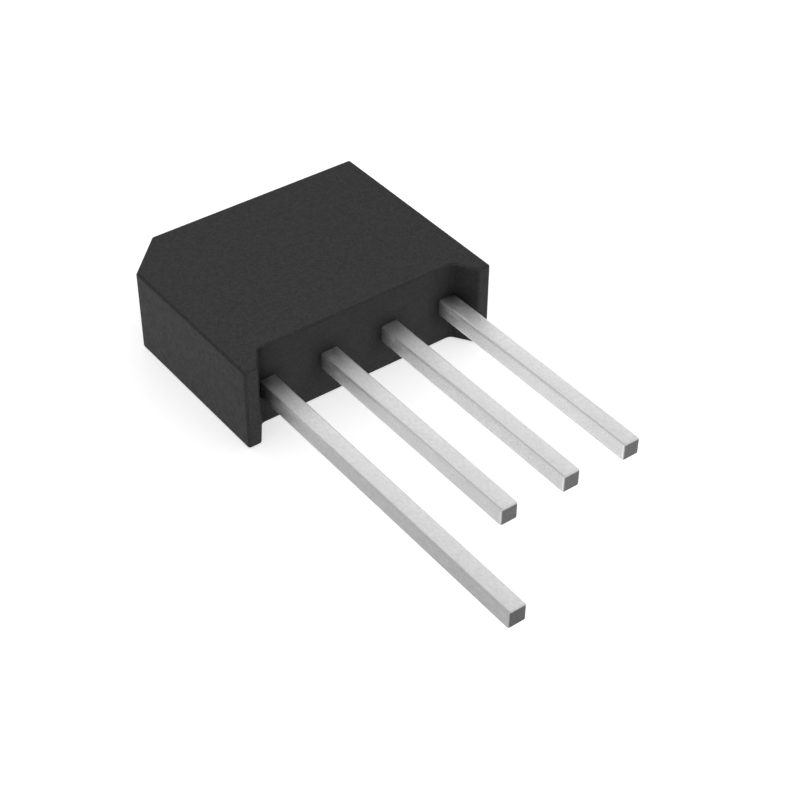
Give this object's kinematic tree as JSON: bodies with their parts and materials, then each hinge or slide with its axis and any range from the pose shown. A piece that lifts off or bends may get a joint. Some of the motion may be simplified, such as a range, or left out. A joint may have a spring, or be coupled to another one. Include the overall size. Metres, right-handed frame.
{
  "type": "bridge rectifier",
  "caption": "Flat in-line bridge rectifier: black moulded epoxy block with a cut corner and slanted standoffs, and square tinned leads that turn alternating current into direct current.",
  "frame": {"origin": "centre of the lower broad face, half-way along the body's width and half-way from the recessed front face to the back", "axes": "+Z out of the upper broad face, -Y along the leads towards their tips, +X along the row of leads from the long plus lead to the minus lead"},
  "size_m": [0.019, 0.0385, 0.0061],
  "materials": {
    "epoxy": "fine matt mould texture, near black",
    "tinned_copper": "satin tin plating over copper",
    "solder": "dull grey solder",
    "silicon": "dark grey polished silicon",
    "copper": "bare rolled copper"
  },
  "bodies": {
    "root": {"epoxy_body": "epoxy", "lead_plus": "tinned_copper", "lead_ac_1": "tinned_copper", "lead_ac_2": "tinned_copper", "lead_minus": "tinned_copper", "solder_base_plus_1": "solder", "solder_base_plus_2": "solder", "solder_base_minus_1": "solder", "solder_base_minus_2": "solder", "solder_top_plus_1": "solder", "solder_top_plus_2": "solder", "solder_top_minus_1": "solder", "solder_top_minus_2": "solder", "solder_foot_plus_1": "solder", "solder_foot_plus_2": "solder", "solder_foot_minus_1": "solder", "solder_foot_minus_2": "solder", "die_plus_1": "silicon", "die_plus_2": "silicon", "die_minus_1": "silicon", "die_minus_2": "silicon", "clip_plus_1": "copper", "clip_plus_2": "copper", "clip_minus_1": "copper", "clip_minus_2": "copper"}
  },
  "joints": []
}
